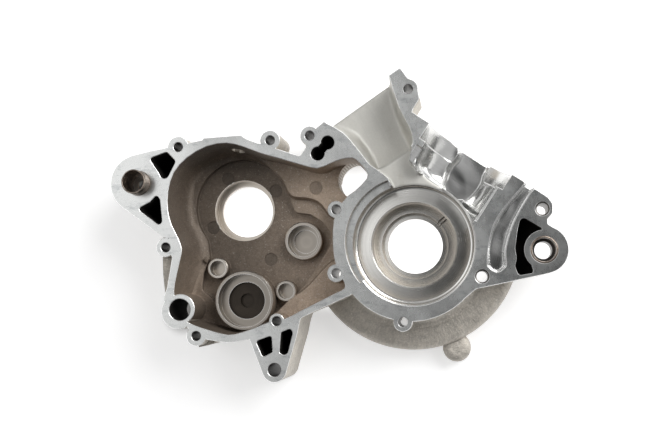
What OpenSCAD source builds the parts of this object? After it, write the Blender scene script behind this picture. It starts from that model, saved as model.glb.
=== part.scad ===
// Left crankcase half of a small two-stroke motocross engine.
// One aluminium casting with its machined faces and bores, and two pressed-in steel mount bushes.
// The origin is where the crankshaft axis meets the split face. +Z points out of the split face.
// +X runs to the front mount and +Y to the cylinder side.

/* [Split face and depths] */
// Depth from the split face to the ignition cover face
case_depth = 56; // [54:0.5:60]
// Depth of the gearbox shell's back
shell_depth = 46; // [45:0.5:49]
// Depth of the front arm
arm_depth = 30; // [26:1:36]
// Depth of the rear mount lug
rear_lug_depth = 46; // [40:1:50]
// Depth of the lower mount lug
lower_lug_depth = 56; // [46:1:56]

/* [Crankshaft] */
// Radius of the crank web pocket
pocket_r = 44; // [42:0.5:45]
// Depth of the crank web pocket
pocket_depth = 19; // [16:0.5:21]
// Radius of the main bearing seat
bearing_r = 31; // [28:0.5:32]
// Width of the main bearing seat
bearing_w = 16; // [14:0.5:17]
// Radius of the crank seal seat
seal_r = 25; // [23:0.5:27]
// Radius of the hole that the crankshaft passes
shaft_hole_r = 20.7; // [17:0.1:22]

/* [Gearbox] */
// Radius of the countershaft bearing seat
countershaft_r = 23.5; // [21:0.5:24]
// Radius of the countershaft seal opening
sprocket_hole_r = 19.8; // [17:0.1:20.5]
// Radius of the mainshaft bearing seat
mainshaft_r = 12; // [10:0.5:12.5]
// Radius of the shift drum seat
drum_r = 20; // [18:0.5:21]
// Radius of the fork rail seats
rail_r = 6; // [4:0.5:6.5]
// Radius of the shift shaft bore
shift_shaft_r = 8; // [6:0.5:9]
// Depth of the gearbox floor at the walls
floor_depth = 34; // [32:0.5:35]
// Depth of the gearbox floor round the countershaft
basin_depth = 40; // [38:0.5:41]
// Depth of the raised floor beside the crank wall
raised_depth = 28; // [24:0.5:30]

/* [Mounts and screws] */
// Distance of the rear mount behind the crankshaft axis
rear_mount_x = 204; // [202:0.5:206]
// Height of the rear mount over the crankshaft axis
rear_mount_y = 46.3; // [44.3:0.5:48.3]
// Distance of the front mount ahead of the crankshaft axis
front_mount_x = 93.1; // [92.1:0.5:94.1]
// Distance of the lower mount below the crankshaft axis
lower_mount_y = 91; // [89:0.5:93]
// Radius of the case screw holes
screw_r = 3.5; // [3:0.1:4]
// Radius of the dowel holes
dowel_r = 4.1; // [3.5:0.1:4.5]
// Outer radius of the rear mount bush
rear_bush_r = 9; // [8:0.25:10]
// Wall of the rear mount bush
rear_bush_wall = 1; // [0.8:0.1:2]
// Height of the rear mount bush above the split face
rear_bush_rise = 13; // [8:1:18]
// Length of the rear mount bush inside its seat
rear_bush_seat = 20; // [12:1:26]
// Thickness of the foot inside the rear mount bush
rear_bush_foot = 6; // [4:0.5:8]
// Outer radius of the front mount bush
front_bush_r = 9.8; // [8.5:0.1:11]
// Wall of the front mount bush
front_bush_wall = 1.4; // [1:0.1:2.5]
// Length of the front mount bush
front_bush_len = 12; // [8:1:18]
// Radius of the front mount bolt hole
front_bolt_r = 6.4; // [5:0.1:7]
// Radius of the rear mount bolt hole
rear_bolt_r = 4.2; // [3.5:0.1:6]
// Radius of the lower mount bolt hole
lower_bolt_r = 4.9; // [4:0.1:5.5]

/* [Cylinder and intake] */
// Distance from the crankshaft axis to the cylinder base face
base_dist = 80; // [78:0.5:82]
// Radius of the cylinder spigot bore
spigot_r = 30; // [27:0.5:31]
// Radius of the counterbore at the cylinder base
counterbore_r = 35; // [34:0.5:37]
// Depth of the counterbore below the cylinder base
counterbore_depth = 13; // [8:0.5:16]
// Distance from the crankshaft axis to the intake face
intake_dist = 110.5; // [109:0.5:113]
// Depth of the intake duct floor
intake_depth = 33; // [28:0.5:34]
// Depth of the throat between the duct and the crank pocket
throat_depth = 16; // [12:0.5:18]
// Depth of the transfer duct
transfer_depth = 44; // [38:0.5:45]

/* [Ignition side] */
// Outer radius of the ignition housing
housing_r = 80; // [78:0.5:82]
// Wall of the ignition housing
housing_wall = 7; // [5:0.5:9]
// Depth of the shallow part of the ignition recess
recess_h = 7; // [4:0.5:8]
// Number of ignition cover screws
cover_screws = 4; // [4:1:4]
// Radius of the cover screw lugs
cover_lug_r = 10.5; // [8:0.5:11]

/* [Hidden] */
$fn = 64;
eps = 0.02;
over = 20;

// Axes in the split face
rear_mount = [-rear_mount_x, rear_mount_y];
front_mount = [front_mount_x, -4.7];
lower_mount = [-100.6, -lower_mount_y];
countershaft = [-131.4, 28.2];
mainshaft = [-84.4, 4.1];
drum = [-128, -41];
rails = [[-150.4, -16.5], [-97.6, -33.8]];
shift_shaft = [-171.5, -47.6];
ignition = [-1.9, 2.3];

// Case screws: x, y, boss radius, boss depth
case_screws = [
    [-173.9, 73, 7.9, 44], [-182.6, -1.7, 7.1, 44], [-158.9, -66.8, 7.3, 44], [-99.1, -55.8, 5.6, 44],
    [-104.5, 76.8, 7.4, 44], [-75.1, 79.8, 7, 40], [-2.8, 112.6, 7.3, 40], [-55.5, 25.2, 6.3, 40],
    [-55.5, -21.1, 6.5, 44], [-7.3, -56.1, 6.9, 30]];
// Dowel holes with a plain rim
dowels = [[49.3, -23.6], [92.1, 24.3]];
dowel_boss_r = 7.2;

cyl_angle = 57;
intake_angle = 124.7;
mouth_shift = 2;
seal_w = 6;
lip_w = 3;
bearing_floor = pocket_depth + bearing_w;
seal_floor = bearing_floor + seal_w;
boss_floor = seal_floor + lip_w;
crank_wall = 8.7;

// Plain vector helpers
function unit(v) = v / norm(v);
function mid(a, b, t) = a + (b - a) * t;
function turn(v) = [v.y, -v.x];

// The arc that rounds corner b of a, b, c with radius r
function corner(a, b, c, r) = let(
    u = unit(a - b), v = unit(c - b),
    half = acos(max(-1, min(1, u * v))) / 2,
    centre = b + unit(u + v) * (r / sin(half)),
    s = b + u * (r / tan(half)) - centre,
    e = b + v * (r / tan(half)) - centre,
    a0 = atan2(s.y, s.x),
    sweep = atan2(s.x * e.y - s.y * e.x, s * e),
    n = max(2, round(abs(sweep) / 18)))
    [for (i = [0:n]) centre + r * [cos(a0 + sweep * i / n), sin(a0 + sweep * i / n)]];

// A closed outline of [x, y, radius] points with its corners rounded
function rounded(p) = let(n = len(p)) [for (i = [0:n - 1]) let(
    a = p[(i + n - 1) % n], b = p[i], c = p[(i + 1) % n],
    flat_b = [b.x, b.y])
    each (len(b) > 2 && b[2] > 0
        ? corner([a.x, a.y], flat_b, [c.x, c.y], b[2]) : [flat_b])];

// A point on the smooth curve through b and c
function spline(a, b, c, d, t) =
    0.5 * (2 * b + (c - a) * t + (2 * a - 5 * b + 4 * c - d) * t * t + (3 * b - a - 3 * c + d) * t * t * t);

// A closed smooth curve through the points, with k steps between neighbours
function smooth(p, k) = let(n = len(p)) [for (i = [0:n - 1], j = [0:k - 1])
    spline(p[(i + n - 1) % n], p[i], p[(i + 1) % n], p[(i + 2) % n], j / k)];

// The outward direction of a closed outline at each point, for a clockwise outline
function outward(p, i) = let(n = len(p))
    unit(turn([p[(i + n - 1) % n].x - p[(i + 1) % n].x, p[(i + n - 1) % n].y - p[(i + 1) % n].y]));

// A cast hollow or lump. Its rim is a smooth outline of [x, y, lean] points, clockwise, where lean
// is how far the wall has come in at the bottom, or gone out if it is negative. The foot of the
// wall is a round fillet. The whole rim has to be in sight of the point heart. With k = 1 the rim
// is taken as it is and comes in towards the heart.
WALL = [[0, 0], [0.14, 0.4], [0.28, 0.68], [0.45, 0.85], [0.7, 0.96], [1, 1]];
module cast_form(rim, heart, depth, k = 3, rise = 1) {
    p = k == 1 ? rim : smooth(rim, k);
    n = len(p);
    m = len(WALL);
    rings = [
        for (i = [0:n - 1]) [p[i].x, p[i].y, rise],
        for (w = WALL, i = [0:n - 1])
            let(q = (k == 1 ? unit(heart - [p[i].x, p[i].y]) : -outward(p, i)) * p[i][2] * w[0])
            [p[i].x + q.x, p[i].y + q.y, -depth * w[1]],
        [heart.x, heart.y, rise], [heart.x, heart.y, -depth]];
    top = n * (m + 1);
    sides = [for (r = [0:m - 1], i = [0:n - 1], h = [0, 1]) let(
        a = r * n + i, b = r * n + (i + 1) % n, c = a + n, d = b + n)
        h == 0 ? [a, d, b] : [a, c, d]];
    ends = [for (i = [0:n - 1], h = [0, 1]) let(j = (i + 1) % n)
        h == 0 ? [i, j, top] : [m * n + j, m * n + i, top + 1]];
    polyhedron(points = rings, faces = concat(sides, ends), convexity = 8);
}

// Straight solids hung from a plane below the split face
module sunk(top, bottom) translate([0, 0, -bottom]) linear_extrude(bottom - top) children();
module hole(at, r, top, bottom) translate([at.x, at.y, -bottom]) cylinder(r = r, h = bottom - top);

// Outlines in the split face
gearbox_outline = rounded([
    [-178, 66], [-166, 76], [-155.6, 78], [-154.8, 79.4, 0.6], [-126.4, 81.1, 1], [-122, 78, 3],
    [-114, 75, 5], [-104, 72], [-96, 69.3], [-82, 64.6, 3], [-77.8, 71.5, 2], [-79, 80], [-71, 84.6],
    [-64.4, 89.9], [-20, 60], [-20, -20], [-45.2, -36.9, 3], [-80, -52.8, 2], [-88, -60],
    [-114, -66], [-120, -69.4, 4], [-135, -71.8, 30], [-151, -69.4, 6], [-160, -66], [-166, -60],
    [-180, -50], [-184.1, -39.7, 6], [-181.2, -31.6], [-179, -18.4], [-177.6, -8.8, 2],
    [-183, -1], [-180, 6], [-184, 14], [-184, 50]]);

module rear_lug_outline() {
    translate(rear_mount) circle(r = 21.4);
    translate(rear_mount) polygon([[-12.6, -17.3], [19.8, -40.7], [34, -42.3], [34, 25.7], [21, 26.3], [8.7, 24.1],
        [-5.6, 20.7]]);
}

module lower_lug_outline() {
    translate(lower_mount) circle(r = 9);
    polygon(rounded([lower_mount + [-8.6, -2.8], [-118.9, -69.4], [-118, -56], [-80, -50], [-82, -56],
        [-84, -65.7, 30], lower_mount + [8.7, -2]]));
}

module crank_outline() translate([-2, -1.5]) circle(r = pocket_r + crank_wall + 1.6);

module front_outline() {
    translate(front_mount) circle(r = 17);
    polygon(rounded([[-10, -30], [-10, 60], [20, 82.3], [96, 32.6, 1.5], [99.3, 28, 3], [99.2, 21, 3],
        [95.6, 17, 1], [95.6, 13.6, 1], [101, 10], [96.6, -21.4], [61.7, -29], [45, -32.4, 5], [36, -40]]));
}

module intake_outline() polygon(rounded([
    [-64.4, 89.9], [-8.6, 128.5, 0.8], [-2.9, 120.5, 1], [1.2, 118.6, 3], [4.3, 111.8, 5], [5.6, 105.6, 1.5],
    [0.8, 98, 2], [0, 95.6], [20, 82.3], [10, 40], [-50, 30]]));

// The block under the cylinder base, in the cylinder's own direction
module cylinder_block_outline() rotate(cyl_angle) translate([30, -43]) square([base_dist - 30, 91]);

// Round foot of the crank ring on the ignition housing
module ring_foot() translate([-2, -1.5, 0]) rotate_extrude($fn = 128) let(
    r = pocket_r + crank_wall + 1.6, foot = 6, top = pocket_depth + 4) polygon([
        [r - 8, -top + foot], for (a = [180:18:270]) [r + foot + foot * cos(a), -top + foot + foot * sin(a)],
        [r + foot, -top - 4], [r - 8, -top - 4]]);

// The ignition housing: a shallow dome under the crank pocket with a deep rim
module ignition_housing() {
    top = pocket_depth + 4;
    translate([ignition.x, ignition.y, 0]) rotate_extrude($fn = 128) polygon([
        [0, -top], [housing_r - 26, -top], [housing_r - 8, -top - 7],
        for (a = [75:-15:0]) [housing_r - 8 + 8 * cos(a), -top - 15 + 8 * sin(a)],
        [housing_r, -case_depth], [0, -case_depth]]);
    for (a = cover_screw_angles) cover_boss(a);
}

cover_screw_angles = [for (i = [0:cover_screws - 1]) -67.5 + i * 360 / cover_screws];
function cover_screw(a) = ignition + (housing_r + 4.9) * [cos(a), sin(a)];

module cover_boss(a) {
    translate([cover_screw(a).x, cover_screw(a).y, -case_depth]) rotate_extrude() polygon([
        [0, 0], [cover_lug_r, 0], [cover_lug_r, 12],
        for (t = [15:15:75]) [cover_lug_r - 5 + 5 * cos(t), 12 + 5 * sin(t)],
        [cover_lug_r - 5, 17], [0, 17]]);
}

// Outer bosses on the back of the gearbox shell
module back_bosses() {
    hole(countershaft, countershaft_r + 5, shell_depth - 2, case_depth);
    hole(mainshaft, mainshaft_r + 5, shell_depth - 2, shell_depth + 5);
    hole(drum, drum_r + 3, shell_depth - 2, shell_depth + 2);
    hole(shift_shaft, shift_shaft_r + 5, 0, shell_depth + 5);
    hole(rear_mount, rear_bolt_r + 7, rear_lug_depth - 2, rear_lug_depth + 4);
    for (p = rails) hole(p, rail_r + 3, shell_depth - 2, shell_depth + 2.5);
    back_rib(countershaft, rear_mount, 4);
    back_rib(countershaft, drum, 4);
    back_rib(countershaft, mainshaft, 4);
    back_rib(drum, shift_shaft, 4);
}

// A rib between two bosses on the back of the shell
module back_rib(a, b, h) {
    d = b - a;
    translate([a.x, a.y, -shell_depth - h]) rotate(atan2(d.y, d.x)) translate([0, -2.5, 0])
        cube([norm(d), 5, h + 1]);
}

// The gearbox shell. Its wall comes in towards the back, but not beside the crank ring.
shell_lean = 8;
module gearbox_shell() cast_form(
    [for (p = gearbox_outline) [p.x, p.y, shell_lean * max(0, min(1, (-64 - p.x) / 24))]],
    [-60, 10], shell_depth, 1, 0);

// The whole casting before its hollows are cut
module blank() {
    gearbox_shell();
    sunk(8, shell_depth) polygon([[-184, -2], [-187, -9], [-186.4, -22], [-184, -42], [-175, -40], [-175, -2]]);
    sunk(14, shell_depth - 4) polygon([[-163, -70], [-160, -75.6], [-148, -72.4], [-146, -66], [-158, -64]]);
    sunk(0, rear_lug_depth) rear_lug_outline();
    sunk(0, lower_lug_depth) lower_lug_outline();
    sunk(0, pocket_depth + 8) crank_outline();
    sunk(0, arm_depth) front_outline();
    sunk(0, intake_depth + 7) intake_outline();
    sunk(0, transfer_depth + 6) cylinder_block_outline();
    ring_foot();
    ignition_housing();
    back_bosses();
    for (s = case_screws) hole(s, s[2], 0, s[3]);
    hole(dowels[1], dowel_boss_r, 0, arm_depth);
    hole([-172.3, -48.9], shift_shaft_r + 5, 0, shell_depth);
}

// Rim of the gearbox cavity in the split face, clockwise, with the lean of its wall
gearbox_rim = [
    [-111.9, 67.5, 4], [-96.9, 63.1, 2], [-82, 58.5, 2], [-69.5, 55.5, 2], [-60, 58.9, 2], [-52, 61.9, 2],
    [-43.6, 62.8, 2], [-38.3, 59, 1.5], [-33.4, 52.8, 1.5], [-33, 47.6, 1.5], [-41.2, 39, 1.5],
    [-47, 35, 1.5], [-54, 26, 1.5], [-57.2, 17, 1.5], [-58, 4, 1.5], [-57, -10, 1.5], [-53.6, -20, 1.5],
    [-49.6, -28, 1.5], [-49.6, -32.2, 1.5], [-55.5, -35.3, 2], [-67.2, -41.2, 2], [-81.8, -48.5, 2],
    [-92, -53.6, 2], [-105, -56.6, 2.5], [-115, -60.6, 3], [-125, -64, 3], [-135, -65.8, 3],
    [-148.4, -62.8, 3], [-161.2, -58.6, 3], [-169, -54, 3], [-174, -45, 4], [-175.9, -34, 8],
    [-174, -22, 11], [-171.3, -10, 12], [-170.3, -3, 12], [-173, 5, 12], [-178.2, 15, 12],
    [-181.2, 26, 12.5], [-181.2, 40, 11.5], [-177, 54, 9.5], [-167, 65, 9], [-152, 73.2, 8.5],
    [-137, 75.4, 8.5], [-124, 72.2, 6.5]];

// The floor basin round the countershaft, the mainshaft and the drum
basin_r = 36.5;
module basin_outline() {
    translate([-131.9, 30.4]) circle(r = basin_r, $fn = 96);
    polygon(rounded([[-166, 20], [-158.8, 3, 6], [-157.4, -9, 6], [-162, -20, 3], [-163.5, -33, 4], [-152, -42, 4],
        [-134, -56], [-104, -50], [-84, -30, 8], [-70.6, -10.8, 10], [-63.3, 2.3, 8], [-64, 11, 6], [-70, 18.6, 6],
        [-79, 24.4, 6], [-91, 26, 3], [-96, 39, 4], [-104, 48]]));
}

// Floor that is raised beside the crank wall: one lump above and one below the mainshaft
upper_lump = [[-90, 74, -2], [-50, 70, -2], [-28, 62, -2], [-28, 44, -2], [-46, 28, -2], [-58, 22, -2],
    [-64.4, 24.6, -3], [-70, 31.8, -3], [-76.5, 35.6, -3], [-83.5, 37, -3], [-91, 37.6, -3], [-95.4, 41.5, -3],
    [-100.5, 52, -3], [-112, 62, -3], [-124, 76, -3]];
lower_lump = [[-48, -8, -3], [-40, -36, -2], [-76, -54, -2], [-104, -62, -2], [-106, -50, -3], [-95, -40.8, -3],
    [-86, -35.2, -3], [-77.5, -28, -3], [-70, -19.4, -3], [-62.5, -12.4, -3], [-55, -9.4, -3]];
module raised_floor() for (l = [[upper_lump, [-70, 50]], [lower_lump, [-72, -36]]])
    translate([0, 0, -raised_depth]) cast_form(l[0], l[1], floor_depth - raised_depth + 0.5, 2, 0);

// A round boss on the gearbox floor with a broken outer edge
module ring(at, r, top) translate([at.x, at.y, 0]) rotate_extrude() polygon([
    [0, -top], [r - 0.7, -top], [r, -top - 0.7], [r, -basin_depth - 1], [0, -basin_depth - 1]]);

// What stands up inside the gearbox cavity
module inner_bosses() {
    ring(mainshaft, mainshaft_r + 2.6, floor_depth - 2);
    ring(drum, drum_r + 2.5, 23);
    for (p = rails) ring(p, rail_r + 2.1, 31);
    sunk(31, basin_depth + 1) polygon([[-162, -10], [-160, -8], [-150, -14], [-152, -18]]);
    sunk(31, basin_depth + 1) polygon([[-112, -36], [-98, -32], [-98, -36], [-110, -40]]);
    hole([-171.1, -47.1], shift_shaft_r + 3, 0, basin_depth + 1);
    for (i = [3, 7, 8]) hole(case_screws[i], case_screws[i][2], 0, basin_depth);
}

// Shallow round marks of the ejector pins on the cast floors
pin_marks = [[-144.9, 53.1, 40], [-107.1, 43.3, 40], [-156.2, 15.1, 40], [-110.8, -9.6, 40], [-74.2, 44, 28]];
module ejector_marks() for (m = pin_marks)
    hole(m, 4.9, m[2] - 1, (m[2] == 40 ? basin_depth : raised_depth) + 0.5);

// Shaft seats of the gearbox
module gearbox_seats() {
    hole(countershaft, countershaft_r, basin_depth - 3, case_depth - 4);
    hole(countershaft, sprocket_hole_r, basin_depth, case_depth + 1);
    hole(mainshaft, mainshaft_r, floor_depth - 3, shell_depth - 2);
    hole(mainshaft, mainshaft_r - 3, floor_depth, shell_depth + 1);
    hole(drum, drum_r, 22, 33);
    hole(drum, drum_r - 6, 30, 36);
    hole(drum, 5.5, 35, 39);
    for (p = rails) hole(p, rail_r, 30, shell_depth - 4);
    hole(shift_shaft, shift_shaft_r, -1, shell_depth + 6);
}

// Lightening pockets in the lugs, cast deep from the split face
module lightening_pockets() {
    sunk(-1, 38) translate(rear_mount) {
        polygon(rounded([[8, 18.5, 2], [21.5, 23.3, 2], [28.4, 16.1, 2.5], [19.8, -0.7, 3.4], [15.4, 7.7, 2]]));
        polygon(rounded([[14, -8.7, 2], [16.6, -12.3, 2], [19, -33.8, 2.6], [-0.6, -19.1, 2], [9, -14.1, 2]]));
    }
    sunk(-1, 44) {
        polygon(rounded([[-114.4, -70.4, 2], [-102.8, -66.2, 1.5], [-102, -78.2, 2], [-109.2, -82, 2]]));
        polygon(rounded([[-95.9, -64, 1.5], [-88.6, -60.8, 2], [-87.2, -64.4, 2], [-91.4, -81, 3], [-96.9, -79, 2]]));
    }
    sunk(-1, 30) {
        translate([-69.1, 66.4]) circle(r = 5.1);
        translate([-61.8, 74.4]) circle(r = 5);
        translate([-65.5, 70.4]) rotate(47.6) square([9, 6.6], center = true);
    }
    sunk(-1, arm_depth - 5) difference() {
        polygon(rounded([[77, 19.4, 3], [91.8, 10.4, 2], [90, 0], [84, -16], [85.6, -21.2, 2], [75, -23, 2.6],
            [72.3, -16.4, 4], [73.8, -11, 8], [72.6, -4, 12], [74.6, 10, 12]]));
        translate(front_mount) circle(r = front_bush_r + 4.4);
    }
}

// Crank web pocket with a round foot, then the bearing seat, the seal seat and the shaft hole
module crank_bores() {
    foot = 3;
    rotate_extrude($fn = 128) polygon([
        [0, 1], [pocket_r + 0.8, 1], [pocket_r + 0.8, 0], [pocket_r, -0.8], [pocket_r, -pocket_depth + foot],
        for (a = [15:15:75]) [pocket_r - foot + foot * cos(a), -pocket_depth + foot - foot * sin(a)],
        [pocket_r - foot, -pocket_depth], [0, -pocket_depth]]);
    hole([0, 0], bearing_r, 0, bearing_floor);
    hole([0, 0], seal_r, 0, seal_floor);
    hole([0, 0], shaft_hole_r, 0, case_depth);
    translate([0, 0, -pocket_depth - 0.8]) cylinder(r1 = bearing_r, r2 = bearing_r + 0.8, h = 0.8 + eps);
}

// The eccentric relief on the rim of the crank pocket
relief_depth = 5;
module rim_relief() sunk(-1, relief_depth) intersection() {
    translate([-2.2, 1.9]) circle(r = pocket_r + 2.8, $fn = 96);
    polygon([[0, 0], [-19, 48.5], [-60, 60], [-60, -46], [-42, -31]]);
}

// Oil groove across the bearing shoulder and the seal lip
module oil_groove() rotate(42) for (y = [-1.9, 0.7])
    translate([shaft_hole_r - 3, y, -seal_floor - 1]) cube([bearing_r - shaft_hole_r + 3.6, 1.2, seal_w + 3]);

// Half of the intake duct, open at the intake face
intake_rim = [
    [-27, 136, 0], [-17.5, 124, 3], [-14.2, 114, 4], [-9.2, 99, 5], [-4.6, 89.5, 6], [-1, 82, 6], [0.4, 74, 4],
    [-1.4, 70.4, 3], [-10, 64.8, 3], [-19.6, 58.2, 3], [-25, 56, 3], [-30.4, 57.4, 4], [-37.9, 67, 8],
    [-44, 74.6, 9], [-49.4, 80.6, 9], [-57, 85.8, 6], [-64.6, 90.2, 3], [-74, 101, 0]];

module throat() sunk(-1, throat_depth) polygon(rounded([
    [-30, 57.2], [-21.9, 51.4], [-17.6, 47.7, 4], [-14, 41], [-5, 30], [21, 36], [22, 50], [10, 51], [3, 52.5],
    [3.6, 53.8], [-2.4, 60.4], [-0.3, 70], [-4, 72], [-24, 62]]));

// Half of the cylinder mouth: counterbore, spigot bore with a round foot, and bevelled edges
module cylinder_mouth() rotate(cyl_angle) {
    translate([0, mouth_shift, 0]) rotate([0, 90, 0]) {
        translate([0, 0, base_dist - counterbore_depth]) cylinder(r = counterbore_r, h = over, $fn = 96);
        rotate_extrude($fn = 96) polygon([[0, 46], [spigot_r - 9, 46],
            for (a = [-75:15:0]) [spigot_r - 9 + 9 * cos(a), 55 + 9 * sin(a)],
            [spigot_r, base_dist + over], [0, base_dist + over]]);
    }
    mouth_bevel(mouth_shift + spigot_r, 47.5, 62, 4.5);
    mouth_bevel(mouth_shift - spigot_r + 1, 38, base_dist + 1, 2.6);
}

// The front side of the spigot bore runs on to the rim of the crank pocket
pocket_land = 1.2;
module spigot_run() difference() {
    intersection() {
        rotate(cyl_angle) translate([0, mouth_shift, 0]) rotate([0, 90, 0])
            translate([0, 0, 33]) cylinder(r = spigot_r - 0.05, h = 24, $fn = 96);
        rotate(cyl_angle) translate([30, -40, -40]) cube([30, 26, 50]);
    }
    hole([0, 0], pocket_r + pocket_land, -12, case_depth);
}

// A 45 degree bevel along an edge of the mouth, at y and from x0 to x1
module mouth_bevel(y, x0, x1, w) translate([x0, y, 0]) rotate([45, 0, 0])
    translate([0, -w / sqrt(2), -w / sqrt(2)]) cube([x1 - x0, w * sqrt(2), w * sqrt(2)]);

// Rim of the left transfer duct, open at the cylinder base
transfer_rim = [
    [34, 86, 0], [62, 70, 0], [58.5, 60, 3], [54.4, 53.4, 3], [52.2, 46, 3], [46.2, 37.4, 3], [38, 32, 2],
    [30, 32.4, 1], [23, 38, 1], [20.4, 45, 2], [20.2, 51, 4], [22.6, 57.6, 4], [27, 63.8, 4], [31.4, 69.6, 4]];

module transfer_duct() difference() {
    cast_form(transfer_rim, [40, 56], transfer_depth);
    hole([0, 0], pocket_r + pocket_land, -5, case_depth);
}

// The coolant channel: x, y and half width along its middle line
channel_path = [[59.7, -14, 5.4], [59.8, -4.8, 5], [62.4, 7, 5.1], [66.5, 17, 4.7], [72.8, 26.8, 3.6],
    [81, 37.8, 2.5], [87, 45.4, 2.3]];
channel_depth = 14;
channel_ledge = 1.3;
function channel_side(i, s, w) = let(
    n = len(channel_path), p = channel_path[i],
    a = channel_path[max(0, i - 1)], b = channel_path[min(n - 1, i + 1)],
    u = unit([b.x - a.x, b.y - a.y])) [p.x, p.y] + s * turn(u) * (p[2] + w);
function channel_rim(w) = let(n = len(channel_path), e = channel_path[0]) [
    for (i = [0:n - 1]) channel_side(i, -1, w),
    for (i = [n - 1:-1:0]) channel_side(i, 1, w),
    for (a = [-30, -90, -150]) [e.x, e.y] + (e[2] + w) * [cos(a), sin(a)]];

module coolant_channel() {
    sunk(-1, channel_depth) polygon(smooth(channel_rim(0), 3));
    sunk(-1, 1.2) polygon(smooth(channel_rim(channel_ledge), 3));
}

// The recess for the stator and flywheel, open at the ignition cover face
deep_sector = [238, 372];
post_r = 5;
module ignition_recess() {
    inner_r = housing_r - housing_wall;
    sunk(case_depth - recess_h, case_depth + 1) difference() {
        translate(ignition) circle(r = inner_r, $fn = 128);
        for (a = cover_screw_angles) translate(cover_screw(a)) circle(r = cover_lug_r - 3);
    }
    sunk(boss_floor, case_depth) translate(ignition) circle(r = 34);
    difference() {
        intersection() {
            translate([ignition.x, ignition.y, 0]) rotate_extrude($fn = 128) polygon([
                [36.5, -case_depth], [36.5, -pocket_depth - 11], [housing_r - 24, -pocket_depth - 11],
                [inner_r - 3, -pocket_depth - 19], [inner_r, -pocket_depth - 24], [inner_r, -case_depth]]);
            sunk(pocket_depth, case_depth + 1) polygon([ignition,
                for (a = [deep_sector[0]:(deep_sector[1] - deep_sector[0]) / 6:deep_sector[1]])
                    ignition + 120 * [cos(a), sin(a)]]);
        }
        for (a = [262, 305, 348]) translate(ignition)
            hole(54 * [cos(a), sin(a)], post_r, pocket_depth, case_depth - recess_h);
        for (a = cover_screw_angles) hole(cover_screw(a), cover_lug_r, pocket_depth, case_depth + 1);
    }
}

// Small threaded holes of the ignition side
module ignition_holes() {
    for (a = cover_screw_angles) hole(cover_screw(a), 2.1, case_depth - 12, case_depth + 1);
    for (a = [262, 305, 348]) translate(ignition)
        hole(54 * [cos(a), sin(a)], 2.1, case_depth - recess_h - 10, case_depth + 1);
}

// Case screw, dowel and mount holes
module screw_holes() {
    for (s = case_screws) hole(s, screw_r, -1, case_depth + 1);
    for (d = dowels) {
        hole(d, dowel_r, -1, case_depth + 1);
        translate([d.x, d.y, -1]) cylinder(r1 = dowel_r, r2 = dowel_r + 1, h = 1 + eps);
    }
    hole(rear_mount, rear_bush_r, -1, rear_bush_seat);
    hole(rear_mount, rear_bolt_r, 0, case_depth);
    hole(front_mount, front_bush_r, -1, front_bush_len + 0.6);
    hole(front_mount, front_bolt_r, 0, case_depth);
    hole(lower_mount, lower_bolt_r, -1, case_depth + 1);
}

// Breather hole through the top wall of the gearbox
module breather() translate([-133, 60, -22]) rotate([-90, 0, 0]) cylinder(r = 5, h = 30);

// The round window beside the crank wall
window = [-43, 49.4];
window_r = 14.3;

// Space behind the raised floor, open at the back
module back_hollow() sunk(raised_depth + 6, case_depth) polygon(rounded([
    [-101, 68, 3], [-86, 44, 4], [-78, 38, 3], [-68, 44, 8], [-62, 56, 4], [-74, 62, 6]]));

// Everything beyond the cylinder base face is cut away
module base_face_cut() rotate(cyl_angle) translate([base_dist, -70, -case_depth - 1])
    cube([60, 118, case_depth + 2]);
module intake_face_cut() rotate(intake_angle) translate([intake_dist, -75, -case_depth - 1])
    cube([30, 76.8, case_depth + 2]);

// What the core leaves standing inside the gearbox
module standing_parts() {
    raised_floor();
    inner_bosses();
}

module gearbox_core() difference() {
    cast_form(gearbox_rim, [-100, 10], floor_depth, 2);
    standing_parts();
}

module basin() difference() {
    sunk(floor_depth - 10, basin_depth) basin_outline();
    ring(mainshaft, mainshaft_r + 2.6, floor_depth - 2);
    ring(drum, drum_r + 2.5, 23);
    for (p = rails) ring(p, rail_r + 2.1, 31);
}

// The casting with its turned and drilled holes
module bored_blank() difference() {
    blank();
    crank_bores();
    gearbox_seats();
    screw_holes();
    lightening_pockets();
    breather();
}

// Then its faces and the hollows of the ignition side
module faced_blank() difference() {
    bored_blank();
    base_face_cut();
    intake_face_cut();
    ignition_recess();
    ignition_holes();
    back_hollow();
    hole(window, window_r, raised_depth - 1, case_depth + 1);
}

// Then the openings of the cylinder side
module ducted_blank() difference() {
    faced_blank();
    cylinder_mouth();
    spigot_run();
    throat();
    coolant_channel();
    rim_relief();
    oil_groove();
}

module crankcase_half() color([0.74, 0.73, 0.71]) difference() {
    difference() {
        ducted_blank();
        cast_form(intake_rim, [-28, 90], intake_depth);
        transfer_duct();
    }
    gearbox_core();
    basin();
    ejector_marks();
}

// Steel bush of the rear mount: a stepped dowel tube that stands out of the split face
module rear_dowel_bush() color([0.42, 0.38, 0.34]) translate([rear_mount.x, rear_mount.y, -rear_bush_seat])
    rotate_extrude() polygon([
        [rear_bolt_r, 0], [rear_bush_r - 0.6, 0], [rear_bush_r, 0.6],
        [rear_bush_r, rear_bush_seat + rear_bush_rise - 0.4], [rear_bush_r - 0.4, rear_bush_seat + rear_bush_rise],
        [rear_bush_r - rear_bush_wall, rear_bush_seat + rear_bush_rise],
        [rear_bush_r - rear_bush_wall, rear_bush_foot], [rear_bolt_r, rear_bush_foot]]);

// Steel bush of the front mount, seated just under the split face
module front_mount_bush() color([0.45, 0.40, 0.35]) translate([front_mount.x, front_mount.y, -front_bush_len - 0.6])
    rotate_extrude() polygon([
        [front_bush_r - front_bush_wall, 0], [front_bush_r - 0.5, 0], [front_bush_r, 0.5],
        [front_bush_r, front_bush_len - 0.5], [front_bush_r - 0.5, front_bush_len],
        [front_bush_r - front_bush_wall, front_bush_len]]);

crankcase_half();
rear_dowel_bush();
front_mount_bush();
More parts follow.
